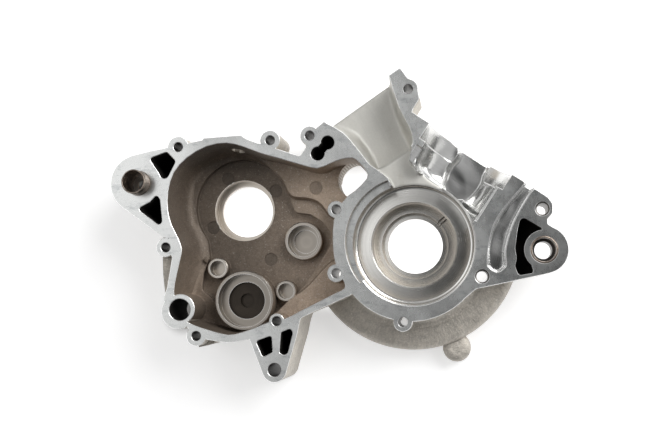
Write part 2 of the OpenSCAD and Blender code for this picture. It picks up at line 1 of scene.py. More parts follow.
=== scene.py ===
# Sidebar tools that finish the left crankcase half in Blender: its cast skin, its machined
# faces and bores, the two mount bushes, and the studio that the part is shown in.
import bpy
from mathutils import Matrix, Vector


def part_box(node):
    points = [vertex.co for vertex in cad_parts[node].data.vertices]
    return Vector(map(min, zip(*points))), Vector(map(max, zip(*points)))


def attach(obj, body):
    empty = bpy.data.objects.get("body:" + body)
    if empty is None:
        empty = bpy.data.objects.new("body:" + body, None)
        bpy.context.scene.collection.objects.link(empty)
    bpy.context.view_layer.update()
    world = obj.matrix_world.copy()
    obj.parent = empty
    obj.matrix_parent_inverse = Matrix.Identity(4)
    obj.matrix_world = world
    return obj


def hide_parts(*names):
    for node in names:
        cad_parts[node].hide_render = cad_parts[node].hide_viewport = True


bl_info = {
    "name": "Crankcase Half Dressing",
    "version": (1, 0, 0),
    "blender": (4, 5, 0),
    "location": "3D View > Sidebar > Crankcase",
    "description": "Gives the crankcase half its cast and machined metal, and sets up the studio picture",
    "category": "Object",
}

import math

import bmesh
import bpy
from bpy.props import FloatProperty, FloatVectorProperty, IntProperty, PointerProperty
from mathutils import Matrix, Vector

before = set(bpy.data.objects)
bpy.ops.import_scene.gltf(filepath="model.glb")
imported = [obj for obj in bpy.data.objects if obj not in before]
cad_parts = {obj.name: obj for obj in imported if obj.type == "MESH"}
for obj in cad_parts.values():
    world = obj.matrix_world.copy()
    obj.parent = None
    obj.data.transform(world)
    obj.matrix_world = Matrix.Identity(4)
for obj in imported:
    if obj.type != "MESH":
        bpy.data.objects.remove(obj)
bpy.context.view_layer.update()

MM = 0.001
CASE_DEPTH = -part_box("crankcase_half")[0].z

# Axes in the split face, in millimetres
CRANK = (0.0, 0.0)
COUNTERSHAFT = (-131.4, 28.2)
MAINSHAFT = (-84.4, 4.1)
DRUM = (-128.0, -41.0)
RAILS = ((-150.4, -16.5), (-97.6, -33.8))
SHIFT_SHAFT = (-171.5, -47.6)
IGNITION = (-1.9, 2.3)
RELIEF = (-2.2, 1.9)
REAR_MOUNT = (-204.0, 46.3)
FRONT_MOUNT = (93.1, -4.7)
LOWER_MOUNT = (-100.6, -91.0)
CASE_SCREWS = ((-173.9, 73.0), (-182.6, -1.7), (-158.9, -66.8), (-99.1, -55.8), (-104.5, 76.8),
               (-75.1, 79.8), (-2.8, 112.6), (-55.5, 25.2), (-55.5, -21.1), (-7.3, -56.1))
DOWELS = ((49.3, -23.6), (92.1, 24.3))
PIN_MARKS = ((-144.9, 53.1), (-107.1, 43.3), (-156.2, 15.1), (-110.8, -9.6), (-74.2, 44.0))

# Directions of the cylinder and the intake in the split face, and how far out their flanges stand
CYLINDER_ANGLE = math.radians(57)
INTAKE_ANGLE = math.radians(124.7)
BASE_DISTANCE = 80.0
INTAKE_DISTANCE = 110.5

# Outlines in the split face, in millimetres
CAVITY = ((-111.9, 67.5), (-82, 58.5), (-69.5, 55.5), (-52, 61.9), (-43.6, 62.8), (-33.4, 52.8),
          (-33, 47.6), (-47, 35), (-57.2, 17), (-57, -10), (-49.6, -28), (-49.6, -32.2), (-67.2, -41.2),
          (-92, -53.6), (-115, -60.6), (-135, -65.8), (-148.4, -62.8), (-169, -54), (-175.9, -34),
          (-170.3, -3), (-181.2, 26), (-181.2, 40), (-167, 65), (-152, 73.2), (-137, 75.4))
INTAKE = ((-27, 136), (-17.5, 124), (-9.2, 99), (-1, 82), (0.4, 74), (-1.4, 70.4), (-19.6, 58.2), (-25, 56),
          (-30.4, 57.4), (-44, 74.6), (-57, 85.8), (-74, 101))
THROAT = ((-30, 57.2), (-17.6, 47.7), (-14, 41), (-5, 30), (21, 36), (22, 50), (3, 52.5), (-2.4, 60.4),
          (-0.3, 70), (-24, 62))
TRANSFER = ((34, 86), (62, 70), (54.4, 53.4), (46.2, 37.4), (38, 32), (30, 32.4), (23, 38), (20.2, 51),
            (31.4, 69.6))

# Middle line of the coolant channel, with half its width at each point, and its rim's bevel
CHANNEL = ((59.7, -14, 5.4), (59.8, -4.8, 5), (62.4, 7, 5.1), (66.5, 17, 4.7), (72.8, 26.8, 3.6),
           (81, 37.8, 2.5), (87, 45.4, 2.3))
CHANNEL_RIM = 1.9

# Depth and outline of each lightening pocket
POCKETS = ((38, ((-196, 64.8), (-182.5, 69.6), (-175.6, 62.4), (-184.2, 45.6), (-188.6, 54))),
           (38, ((-190, 37.6), (-187.4, 34), (-185, 12.5), (-204.6, 27.2), (-195, 32.2))),
           (44, ((-114.4, -70.4), (-102.8, -66.2), (-102, -78.2), (-109.2, -82))),
           (44, ((-95.9, -64), (-88.6, -60.8), (-87.2, -64.4), (-91.4, -81), (-96.9, -79))),
           (30, ((-77.5, 66.5), (-69.2, 58.2), (-54, 74.5), (-61.5, 82))),
           (25, ((77, 19.4), (91.8, 10.4), (90, 0), (84, -16), (85.6, -21.2), (75, -23), (72.3, -16.4),
                 (73.8, -11), (72.6, -4), (74.6, 10))))

# Half profile of each bush, from its foot up its outside and down its bore, as radius and height
REAR_BUSH = ((4.2, -20), (8.4, -20), (9, -19.4), (9, 12.4), (8.85, 12.8), (8.5, 13), (8.3, 13), (8.05, 12.85),
             (8, 12.6), (8, -14), (4.7, -14), (4.2, -14.4))
FRONT_BUSH = ((8.4, -12.6), (9.3, -12.6), (9.8, -12.1), (9.8, -1.1), (9.65, -0.75), (9.3, -0.6), (8.7, -0.6),
              (8.45, -0.7), (8.4, -0.95))
REAR_BUSH_FLOOR = 14.0

# Fixed tints of the finishes; the others are settings
OXIDE_GREY = (0.36, 0.38, 0.39)
CORE_BROWN = (0.42, 0.38, 0.32)
# Tint of the painted highlight along the turned bores' sharp edges
EDGE_HIGHLIGHT_TINT = (0.95, 0.94, 0.92)
# Near black painted into the deep pockets as shade
POCKET_SHADE_BLACK = (0.022, 0.020, 0.018)

# The photograph's camera: focal length and picture width in pixels, place in metres, and its axes
FOCAL_PIXELS = 1050
PICTURE_WIDTH = 668
SENSOR_WIDTH = 36
CAMERA_PLACE = (0.0370, -0.0368, 0.7550)
CAMERA_RIGHT = (0.99234, 0, -0.12351)
CAMERA_UP = (0.00851, 0.99762, 0.06836)
CAMERA_BACK = (0.12322, -0.06888, 0.98999)

# The soft light at the upper right: its place, what it points at and its width, in metres
KEY_PLACE = (0.78, 0.70, 0.80)
KEY_TARGET = (-0.05, 0, 0)
KEY_WIDTH = 1.1
FLOOR_HALF_WIDTH = 3.0
FLOOR_GAP = 0.0002


# Shader maths

class Value:
    """A socket that can be written in plain expressions; each operation adds its Math node"""

    def __init__(self, shader, socket):
        self.shader = shader
        self.socket = socket

    def _math(self, operation, *values):
        return self.shader.node("ShaderNodeMath", {"operation": operation}, values)

    def __add__(self, other):
        return self._math("ADD", self, other)

    __radd__ = __add__

    def __sub__(self, other):
        return self._math("SUBTRACT", self, other)

    def __rsub__(self, other):
        return self._math("SUBTRACT", other, self)

    def __mul__(self, other):
        return self._math("MULTIPLY", self, other)

    __rmul__ = __mul__

    def __truediv__(self, other):
        return self._math("DIVIDE", self, other)

    def __pow__(self, other):
        return self._math("POWER", self, other)

    def __neg__(self):
        return 0.0 - self

    def min(self, other):
        return self._math("MINIMUM", self, other)

    def max(self, other):
        return self._math("MAXIMUM", self, other)

    def abs(self):
        return self._math("ABSOLUTE", self)

    def swing(self, size):
        """A noise's difference from its middle, times a size"""
        return size * (self - 0.5)

    def over(self, low, high):
        """0 at low and 1 at high, with a soft ramp between them"""
        return self.shader.node("ShaderNodeMapRange", {"interpolation_type": "SMOOTHSTEP"},
                                {"Value": self, "From Min": low, "From Max": high}, out="Result")


class Shader:
    """The node tree of a new material or world, with one method for every kind of node"""

    def __init__(self, name, library=None, coordinates="Object"):
        self.owner = (bpy.data.materials if library is None else library).new(name)
        self.owner.use_nodes = True
        self.tree = self.owner.node_tree
        self.tree.nodes.clear()
        self.place = self.node("ShaderNodeTexCoord", {}, (), out=coordinates)

    def node(self, kind, settings, inputs, out=0):
        """Adds a node: its settings first, then the values or links of its sockets, by place or by name"""
        made = self.tree.nodes.new(kind)
        for key, value in settings.items():
            setattr(made, key, value)
        pairs = inputs.items() if isinstance(inputs, dict) else enumerate(inputs)
        for key, value in pairs:
            if isinstance(value, Value):
                self.tree.links.new(value.socket, made.inputs[key])
            elif value is not None:
                made.inputs[key].default_value = value
        return Value(self, made.outputs[out])

    def parts(self, names):
        """Parts of the place or direction, such as the first two for XY"""
        outputs = self.node("ShaderNodeSeparateXYZ", {}, (self.place,)).socket.node.outputs
        return [Value(self, outputs[name]) for name in names]

    def axes(self, names):
        """Parts of the place on the object in millimetres"""
        return [part * (1 / MM) for part in self.parts(names)]

    def noise(self, scale, detail=3.0, rough=0.55, stretch=None):
        """Noise from 0 to 1, with scale in waves a millimetre"""
        place = self.place
        if stretch:
            place = self.node("ShaderNodeMapping", {}, {"Vector": place, "Scale": stretch})
        return self.node("ShaderNodeTexNoise", {"noise_dimensions": "3D"},
                         {"Vector": place, "Scale": scale / MM, "Detail": detail, "Roughness": rough},
                         out="Fac")

    def noise_line(self, along, scale, detail=2.0, rough=0.6):
        """Noise along one value only, for turning and milling marks"""
        return self.node("ShaderNodeTexNoise", {"noise_dimensions": "1D"},
                         {"W": along * scale, "Scale": 1.0, "Detail": detail, "Roughness": rough}, out="Fac")

    def grey(self, value):
        return self.node("ShaderNodeCombineColor", {}, (value, value, value))

    def mix(self, factor, first, second):
        """A colour between two colours"""
        return self.node("ShaderNodeMix", {"data_type": "RGBA", "clamp_factor": True},
                         {0: factor, 6: colour_of(first), 7: colour_of(second)}, out=2)

    def shade(self, colour, value):
        """A colour made lighter or darker by a value"""
        return self.node("ShaderNodeMix", {"data_type": "RGBA", "blend_type": "MULTIPLY"},
                         {0: 1.0, 6: colour_of(colour), 7: self.grey(value)}, out=2)

    def bump(self, height, distance, normal=None):
        """A normal from a height from 0 to 1, where distance is the height of 1 in millimetres"""
        return self.node("ShaderNodeBump", {},
                         {"Distance": distance * MM, "Height": height, "Normal": normal})

    def soft_edges(self, radius):
        """The normal with its edges rounded off, radius in millimetres"""
        return self.node("ShaderNodeBevel", {"samples": 6}, {"Radius": radius * MM})

    def sharp_edge_highlight_and_wear(self, radius):
        """1 along sharp edges and 0 away from them, radius in millimetres; it places painted highlights and
        wear along edges
        """
        flat = self.node("ShaderNodeNewGeometry", {}, (), out="True Normal")
        likeness = self.node("ShaderNodeVectorMath", {"operation": "DOT_PRODUCT"},
                             (self.soft_edges(radius), flat), out="Value")
        return (1.0 - likeness).over(0.04, 0.2)

    def surface(self, **sockets):
        """Ends the material with its Principled surface"""
        named = {key.replace("_", " "): value for key, value in sockets.items()}
        return self.finish(self.node("ShaderNodeBsdfPrincipled", {}, named), "ShaderNodeOutputMaterial")

    def finish(self, made, output):
        self.tree.links.new(made.socket, self.tree.nodes.new(output).inputs["Surface"])
        return self.owner


def colour_of(colour):
    return colour if isinstance(colour, Value) else (*tuple(colour)[:3], 1.0)


def darker(colour, share):
    return [part * share for part in colour]


def distance_to(x, y, axis):
    """Distance from an axis, as a shader value"""
    dx, dy = x - axis[0], y - axis[1]
    return (dx * dx + dy * dy) ** 0.5


# Finishes of the casting

def milled_face(look):
    """The split face: milled, then lapped to a cloudy satin, with fine straight cutter marks"""
    shader = Shader("milled_face")
    x, y = shader.axes("XY")
    cloud = shader.noise(0.035, 4.0, 0.6)
    fine = shader.noise(0.5, 3.0, 0.6, stretch=(1.0, 0.35, 1.0))
    marks = shader.noise_line(x * 0.94 + y * 0.34, 1.6, rough=0.7)
    tone = 0.9 + cloud.swing(0.5) + fine.swing(0.14) + marks.swing(0.08)
    stain = shader.noise(0.1, 5.0, 0.72, stretch=(0.6, 1.5, 1.0)).over(0.5, 0.7)
    # Darker round the top rail, and darker on the front lug as painted shade: the dimmer reflection on the
    # right of the split face
    top_rail = distance_to(x, y, (-145.0, 88.0)).over(34.0, 12.0)
    front_lug_shade = x.over(48.0, 78.0)
    tone = tone * (1.0 - 0.2 * top_rail - 0.3 * front_lug_shade)
    colour = shader.mix(stain * 0.55, shader.shade(look.face_colour, tone), OXIDE_GREY)
    return shader.surface(Base_Color=colour, Metallic=1.0,
                          Roughness=0.27 + cloud.swing(0.2) + fine.swing(0.06),
                          Normal=shader.bump(fine * 0.3 + marks * 0.5, 0.008))


def broken_edge(look):
    """The thin bright edge left by the deburring brush"""
    shader = Shader("broken_edge")
    fine = shader.noise(0.4, 2.0)
    return shader.surface(Base_Color=shader.shade(look.edge_colour, 0.85 + 0.3 * fine), Metallic=1.0,
                          Roughness=0.3 + 0.15 * fine)


def turned_bore(name, colour, rough, crown=0.0):
    """Turned metal with fine rings round the nearest shaft axis and a painted highlight along its sharp
    edges; crown rounds the crank pocket's floor
    """
    shader = Shader(name)
    x, y, z = shader.axes("XYZ")
    near = distance_to(x, y, CRANK)
    for axis in (COUNTERSHAFT, MAINSHAFT, DRUM, *RAILS):
        near = near.min(distance_to(x, y, axis))
    rings = shader.noise_line(near * 0.97 + z * 0.31, 1.6)
    bands = shader.noise_line(near * 0.9 - z * 0.6 + 7.0, 0.35, rough=0.5)
    cloud = shader.noise(0.05)
    hub = distance_to(x, y, CRANK).over(33.5, 32.0)
    counter = distance_to(x, y, COUNTERSHAFT).over(26.0, 25.0)
    drum = distance_to(x, y, DRUM).over(24.0, 23.0)
    tone = 0.9 + rings.swing(0.1) + bands.swing(0.16) + cloud.swing(0.2)
    tone = tone * (1.0 + (0.12 + bands.swing(0.3)) * hub + 0.35 * counter - 0.25 * drum)
    # Sharp edges are mixed towards a bright tint as a painted highlight
    wear_and_highlight = shader.mix(shader.sharp_edge_highlight_and_wear(1.1), shader.shade(colour, tone), EDGE_HIGHLIGHT_TINT)
    return shader.surface(Base_Color=wear_and_highlight, Metallic=1.0,
                          Roughness=rough + rings.swing(0.08) + cloud.swing(0.1) + 0.03 * hub,
                          Normal=shader.bump(rings * 0.004 - near * crown, 1.0))


def bright_mill(look):
    """The cylinder mouth and the coolant channel: milled bright, with long cutter waves"""
    shader = Shader("bright_mill")
    x, y = shader.axes("XY")
    along = x * math.cos(CYLINDER_ANGLE) + y * math.sin(CYLINDER_ANGLE)
    waves = shader.noise_line(along, 0.9)
    wobble = shader.noise(0.05, 0.0, 0.0)
    return shader.surface(Base_Color=shader.shade(look.bright_colour, 0.9 + waves.swing(0.16)), Metallic=1.0,
                          Roughness=0.2 + wobble.swing(0.14) + waves.swing(0.05),
                          Normal=shader.bump(waves * 0.01 + wobble * 2.4, 1.0, shader.soft_edges(1.6)))


def duct_floor(look):
    """The intake duct and the throat: satin, with curved marks of the core and a few brown lines"""
    shader = Shader("duct_floor")
    x, y = shader.axes("XY")
    marks = shader.noise_line(distance_to(x, y, (-150.0, 30.0)), 0.22, 3.0)
    cloud = shader.noise(0.05, 4.0, 0.6)
    grain = shader.noise(0.9, 2.0, 0.7)
    lines = shader.noise(0.07, 4.0, 0.7).over(0.6, 0.72)
    tone = 0.86 + marks.swing(0.1) + cloud.swing(0.22) + grain.swing(0.14)
    colour = shader.mix(lines * 0.25, shader.shade(look.duct_colour, tone), CORE_BROWN)
    return shader.surface(Base_Color=colour, Metallic=0.75, Roughness=0.56 + cloud.swing(0.14),
                          Normal=shader.bump(marks * 0.3 + grain * 0.3, 0.05, shader.soft_edges(3.0)))


def cast_skin(look, name, colour, sparkle, coarse, metallic=0.55, rough=0.56, edge=1.0, painted_light_and_shade=0.0,
              relief=0.22):
    """Sand-blasted casting skin: grainy, with small bright points; painted light and shade darken it overall,
    in the deep rear floors and at the top wall, and lighten the right side, where more bright points are
    painted, and the rear corner
    """
    shader = Shader(name)
    x, y, z = shader.axes("XYZ")
    # Painted light and shade: lighter towards the right, less so deep down; lighter at the rear corner;
    # darker at the top wall
    lit_right_side = x.over(-136.0, -72.0) * (1.0 - 0.45 * (-z).over(30.0, 36.0))
    lit_rear_corner = distance_to(x, y, (-172.0, -26.0)).over(30.0, 8.0)
    shaded_top_wall = y.over(54.0, 64.0)
    grain = shader.noise(1.1 * coarse, 3.0, 0.75)
    lumps = shader.noise(0.28 * coarse, 3.0, 0.6)
    cloud = shader.noise(0.03, 4.0, 0.6)
    points = shader.noise(0.9 * coarse, 2.0, 0.8).over(0.6, 0.74)
    tone = 0.92 + grain.swing(0.9) + lumps.swing(0.6) + cloud.swing(0.5)
    tone = tone * (1.0 - painted_light_and_shade * 0.42 + painted_light_and_shade * 2.1 * lit_right_side + painted_light_and_shade * 0.9 * lit_rear_corner
                   - painted_light_and_shade * 0.35 * shaded_top_wall)
    # More bright points on the painted lit right side
    glint = points * sparkle * (1.0 - 0.6 * painted_light_and_shade + 2.2 * painted_light_and_shade * lit_right_side)
    return shader.surface(Base_Color=shader.mix(glint, shader.shade(colour, tone), look.sparkle_colour),
                          Metallic=metallic, Roughness=rough - 0.2 * points * sparkle + lumps.swing(0.2),
                          Normal=shader.bump(grain * 0.6 + lumps * 0.9, relief / coarse,
                                             shader.soft_edges(edge)))


def deep_pocket():
    """The insides of the lightening pockets and of the shift shaft's bore, painted near black as shade"""
    shader = Shader("deep_pocket")
    grain = shader.noise(0.5, 3.0, 0.7)
    return shader.surface(Base_Color=shader.shade(POCKET_SHADE_BLACK, 0.6 + 0.8 * grain), Metallic=0.2,
                          Roughness=0.85, Specular_IOR_Level=0.15)


def drilled_hole(look):
    """Drilled and reamed holes with fine spiral marks, painted dark and darker deeper down as shade"""
    shader = Shader("drilled_hole")
    [z] = shader.axes("Z")
    marks = shader.noise_line(z, 2.5)
    # Painted shade: darker deeper into the hole
    depth_shade = (-z).over(1.0, 16.0)
    tone = (0.9 + marks.swing(0.25)) * (1.0 - 0.5 * depth_shade)
    return shader.surface(Base_Color=shader.shade(look.hole_shade_colour, tone), Metallic=1.0,
                          Roughness=0.3 + 0.1 * marks, Normal=shader.bump(marks, 0.03))


def seat_plate(look):
    """The dark plate in the bottom of the drum seat"""
    shader = Shader("seat_plate")
    x, y = shader.axes("XY")
    rings = shader.noise_line(distance_to(x, y, DRUM), 1.4)
    cloud = shader.noise(0.12, 4.0, 0.6)
    tone = 0.8 + rings.swing(0.4) + cloud.swing(0.6)
    return shader.surface(Base_Color=shader.shade(look.plate_colour, tone), Metallic=0.7,
                          Roughness=0.42 + rings.swing(0.1), Normal=shader.bump(rings, 0.03))


def bush_steel(look):
    """Oiled brown steel with bare patches of wear and a bright floor in the rear bush; the sharp edges of its
    rim are brightened, partly as wear and partly as a painted highlight
    """
    shader = Shader("bush_steel")
    [z] = shader.axes("Z")
    stain = shader.noise(0.14, 4.0, 0.65)
    rings = shader.noise_line(z, 1.8)
    wear_and_highlight = shader.noise(0.3, 3.0, 0.6).over(0.55, 0.75)
    floor = (-z).over(REAR_BUSH_FLOOR - 0.6, REAR_BUSH_FLOOR - 0.1)
    clean_steel = shader.shade(look.bush_colour, 0.8 + 0.4 * rings)
    colour = shader.mix(stain.over(0.35, 0.7), clean_steel, look.bush_dark_colour)
    # Bare patches of wear, sharp edges brightened as wear and painted highlight, and the bright floor
    for bare in (wear_and_highlight * 0.4, shader.sharp_edge_highlight_and_wear(0.5) * 0.7, floor * 0.75):
        colour = shader.mix(bare, colour, look.bore_colour)
    return shader.surface(Base_Color=colour, Metallic=0.95,
                          Roughness=0.3 + stain.swing(0.2) + rings.swing(0.08),
                          Normal=shader.bump(rings, 0.02))


def make_finishes(look):
    """The casting's materials by name, in the order of its slots"""
    return {
        "milled_face": milled_face(look),
        "broken_edge": broken_edge(look),
        "crank_bore": turned_bore("crank_bore", look.bore_colour, 0.25, crown=0.11),
        "pocket_wall": turned_bore("pocket_wall", darker(look.seat_colour, 0.8), 0.5),
        "gearbox_bore": turned_bore("gearbox_bore", look.seat_colour, 0.3),
        "bright_mill": bright_mill(look),
        "duct_floor": duct_floor(look),
        "cavity_skin": cast_skin(look, "cavity_skin", look.cavity_colour, 0.35, 0.9, edge=1.2, painted_light_and_shade=0.7),
        "outer_skin": cast_skin(look, "outer_skin", look.cast_colour, 0.9, 0.6, edge=1.5, relief=0.5),
        "deep_pocket": deep_pocket(),
        "drilled_hole": drilled_hole(look),
        "seat_plate": seat_plate(look),
        "milled_side": cast_skin(look, "milled_side", look.duct_colour, 0.1, 1.2, metallic=0.9, rough=0.4,
                                 edge=0.5),
        "pin_mark": cast_skin(look, "pin_mark", darker(look.cavity_colour, 0.66), 0.1, 1.2, rough=0.5,
                              edge=0.4, painted_light_and_shade=0.7),
    }


# Where each finish goes, in millimetres. Reaches and depths are a hair past the solid's own,
# so that a bore's wall counts as part of it.
BACK = -60.0
FRONT = 1.0
SPLIT_FACE = -0.05
UNDER_FACE = -0.02

# Least part of a normal along the way that a face should look
LEVEL = 0.99
STRAIGHT = 0.9
FLOOR_LIKE = 0.5
UPWARD = 0.3
ANY_WAY = -2.0

# Round things: axes, reach, lowest and highest place, least upward part of the normal, finish
HOLES = ((CASE_SCREWS, 3.7, BACK, FRONT, ANY_WAY, "drilled_hole"),
         (DOWELS, 5.4, -35, FRONT, ANY_WAY, "drilled_hole"),
         ((REAR_MOUNT,), 9.2, BACK, FRONT, ANY_WAY, "drilled_hole"),
         ((FRONT_MOUNT,), 10.0, BACK, FRONT, ANY_WAY, "drilled_hole"),
         ((LOWER_MOUNT,), 5.1, BACK, FRONT, ANY_WAY, "drilled_hole"),
         ((SHIFT_SHAFT,), 8.2, BACK, FRONT, ANY_WAY, "deep_pocket"))
SEATS = (((COUNTERSHAFT,), 23.7, BACK, -37, ANY_WAY, "gearbox_bore"),
         ((MAINSHAFT,), 12.2, BACK, -31.5, ANY_WAY, "gearbox_bore"),
         ((MAINSHAFT,), 15.0, -33, FRONT, UPWARD, "gearbox_bore"),
         ((DRUM,), 14.1, BACK, -32, ANY_WAY, "seat_plate"),
         ((DRUM,), 20.2, -34, FRONT, ANY_WAY, "gearbox_bore"),
         ((DRUM,), 23.0, -24, FRONT, UPWARD, "gearbox_bore"),
         (RAILS, 6.2, BACK, -30, ANY_WAY, "gearbox_bore"),
         (RAILS, 8.6, -32, FRONT, UPWARD, "gearbox_bore"),
         (PIN_MARKS, 5.1, -44, -27, ANY_WAY, "pin_mark"))

# The crank pocket with the bores behind it
POCKET_REACH = 44.95
POCKET_BACK = -46.5
SEAL_REACH = 26.0
HUB_REACH = 36.6
HUB_FRONT = -46.0
RELIEF_REACH = 46.95
RELIEF_FLOOR = -5.1
BACK_FACE = -52.0

# The cylinder mouth, along and across the cylinder: where each step of its bore starts and how
# wide it is, and how far the bore stands off the middle line; the middle and half width of each
# bevel beside it, from where to where they run and how deep
MOUTH_BORES = ((45, 30.4), (66, 38.5))
MOUTH_SHIFT = 2.0
BEVELS = ((32, 5), (-27, 3.2))
BEVEL_SPAN = (28, 82)
BEVEL_FLOOR = -5

# Between the mouth and the crank pocket: the bright land at the pocket's rim and the step before
# it, each with its radii, its start along the cylinder and its two sides, and its lower end
LAND = (43.5, 46.5, 28, -28, 33)
STEP = (44.9, 56.0, 20, -30, 35)
STEP_FLOOR = -36

# Lowest place of each duct, of the channel and of the gearbox cavity, and how far to the rear the
# intake flange goes
TRANSFER_FLOOR = -44.5
CHANNEL_FLOOR = -14.2
THROAT_FLOOR = -16.2
INTAKE_FLOOR = -33.6
CAVITY_FLOOR = -41.5
INTAKE_REAR = -80.0


def inside(outline, x, y):
    """Whether a point lies in an outline"""
    within = False
    for (ax, ay), (bx, by) in zip(outline, outline[1:] + outline[:1]):
        if (ay > y) != (by > y) and x < (bx - ax) * (y - ay) / (by - ay) + ax:
            within = not within
    return within


def turned(x, y, angle):
    """A place or direction in a frame that is turned by an angle"""
    return x * math.cos(angle) + y * math.sin(angle), y * math.cos(angle) - x * math.sin(angle)


class Spot:
    """The middle of one of the casting's faces in millimetres, and the way that the face looks"""

    def __init__(self, middle, normal):
        self.x, self.y, self.z = middle
        self.normal = normal
        self.up = normal.z
        self.radius = math.hypot(self.x, self.y)
        self.along, self.across = turned(self.x, self.y, CYLINDER_ANGLE)
        self.inlet = turned(self.x, self.y, INTAKE_ANGLE)[0]

    def away(self, axis):
        return math.hypot(self.x - axis[0], self.y - axis[1])

    def faces_along(self, angle):
        """Whether the face looks straight along a direction in the split face"""
        return turned(self.normal.x, self.normal.y, angle)[0] > STRAIGHT

    def faces_into(self, outline, step=0.6):
        """Whether the air a step before the face lies in an outline"""
        return inside(outline, self.x + step * self.normal.x, self.y + step * self.normal.y)

    def before_mouth(self, inner, outer, start, rear, front):
        """Whether the face lies in a part of a ring round the crank, on the cylinder's side"""
        return inner < self.radius < outer and self.along > start and rear < self.across < front

    def in_channel(self):
        """Whether the face lies in the coolant channel or its rim"""
        for (ax, ay, aw), (bx, by, bw) in zip(CHANNEL, CHANNEL[1:]):
            dx, dy = bx - ax, by - ay
            t = max(0.0, min(1.0, ((self.x - ax) * dx + (self.y - ay) * dy) / (dx * dx + dy * dy)))
            if math.hypot(self.x - ax - t * dx, self.y - ay - t * dy) < aw + (bw - aw) * t + CHANNEL_RIM:
                return True
        return False


def round_finish(spot, rows):
    """The finish of the first hole, seat or ring that the face belongs to"""
    for axes, reach, low, high, least_up, finish in rows:
        if low < spot.z < high and spot.up > least_up and any(spot.away(axis) < reach for axis in axes):
            return finish
    return None


def hole_finish(spot):
    """Holes, the machined back face and the lightening pockets"""
    finish = round_finish(spot, HOLES)
    if finish:
        return finish
    if spot.z < BACK_FACE and spot.up < -STRAIGHT:
        return "milled_side"
    if any(spot.z > -depth - 0.1 and spot.faces_into(pocket) for depth, pocket in POCKETS):
        return "deep_pocket"
    return None


def crank_finish(spot):
    """The crank pocket, its bores, the hub recess behind it and the relief step on its rear side"""
    if spot.before_mouth(*LAND) and spot.z < -0.5 and abs(spot.up) < 0.6:
        return "bright_mill"
    if spot.radius < POCKET_REACH and spot.z > POCKET_BACK:
        return "crank_bore" if abs(spot.up) > FLOOR_LIKE else "pocket_wall"
    if spot.radius < SEAL_REACH or (spot.away(IGNITION) < HUB_REACH and spot.z < HUB_FRONT):
        return "crank_bore"
    if spot.away(RELIEF) < RELIEF_REACH and spot.z > RELIEF_FLOOR and spot.x < 0:
        return "milled_face" if spot.up > STRAIGHT else "pocket_wall"
    return None


def flange_finish(spot):
    """The cylinder's base face and the intake flange"""
    if spot.along > BASE_DISTANCE - 0.1 and spot.faces_along(CYLINDER_ANGLE):
        return "milled_side"
    if spot.inlet > INTAKE_DISTANCE - 0.1 and spot.faces_along(INTAKE_ANGLE) and spot.x > INTAKE_REAR:
        return "milled_side"
    return None


def mouth_finish(spot):
    """The cylinder mouth with its bevels and the transfer duct, and the coolant channel"""
    bore = math.hypot(spot.across - MOUTH_SHIFT, spot.z)
    if spot.z < UNDER_FACE and any(spot.along > start and bore < reach for start, reach in MOUTH_BORES):
        return "bright_mill"
    beside = any(abs(spot.across - middle) < half for middle, half in BEVELS)
    beside = beside and BEVEL_SPAN[0] < spot.along < BEVEL_SPAN[1]
    if beside and spot.z > BEVEL_FLOOR and abs(spot.up) > UPWARD:
        return "bright_mill"
    if spot.faces_into(TRANSFER) and spot.z > TRANSFER_FLOOR:
        return "bright_mill"
    if spot.in_channel() and spot.z > CHANNEL_FLOOR:
        return "bright_mill"
    return None


def duct_finish(spot):
    """The throat and the intake duct, and the step from the mouth to the crank pocket"""
    if spot.faces_into(THROAT) and spot.z > THROAT_FLOOR:
        return "duct_floor"
    if spot.faces_into(INTAKE) and spot.z > INTAKE_FLOOR:
        return "duct_floor"
    if spot.before_mouth(*STEP) and STEP_FLOOR < spot.z < UNDER_FACE:
        return "bright_mill"
    return None


def gearbox_finish(spot):
    """The gearbox seats, the ejector pins' marks and the skin of the cavity"""
    finish = round_finish(spot, SEATS)
    if finish:
        return finish
    if spot.faces_into(CAVITY, step=3) and spot.z > CAVITY_FLOOR:
        return "cavity_skin"
    return None


def finish_at(spot):
    """The name of a face's finish; the first rule that knows the place decides"""
    if spot.z > SPLIT_FACE and spot.up > LEVEL:
        return "milled_face"
    for rule in (hole_finish, crank_finish, flange_finish, mouth_finish, duct_finish, gearbox_finish):
        finish = rule(spot)
        if finish:
            return finish
    return "outer_skin"


# Shaping of the pieces

# The smallest length that counts, in metres, and the angles between faces that count as flat
TINY = 1e-6
FLAT_RIM = math.radians(0.1)
FLAT_SKIN = math.radians(0.6)
DUCT_DEPTH = -33.0

# The broken edge: how far across a narrow land its inner points may go, in widths of the edge and
# as a share of the free way, or of the shorter side at a sharp corner, and how close two sides
# have to lie for that; in how many rounds, and by which share, folded points go back to the rim
LAND_REACH = 2.4
LAND_SHARE = 0.42
CORNER_SHARE = 0.4
SHARP = 0.3
FOLD_ROUNDS = 8
FOLD_SHARE = 0.6


def closed_copy(node):
    """A copy of a CAD solid's mesh with its seams merged"""
    bm = bmesh.new()
    bm.from_mesh(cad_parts[node].data)
    bmesh.ops.remove_doubles(bm, verts=bm.verts, dist=2 * TINY)
    bmesh.ops.dissolve_degenerate(bm, dist=2 * TINY, edges=bm.edges)
    return bm


def unfold_duct_floor(bm):
    """Closes the thin triangle that lies upside down on the intake duct's floor"""
    for face in list(bm.faces):
        spot = Spot(face.calc_center_median() / MM, face.normal)
        on_floor = abs(spot.z - DUCT_DEPTH) < 0.01 and inside(INTAKE, spot.x, spot.y)
        if on_floor and spot.up < -LEVEL:
            bmesh.ops.collapse(bm, edges=[min(face.edges, key=lambda e: e.calc_length())])


def split_face(bm):
    """The flat faces of the joint between the two halves"""
    return [f for f in bm.faces if f.normal.z > 0.999 and f.calc_center_median().z > -10 * TINY]


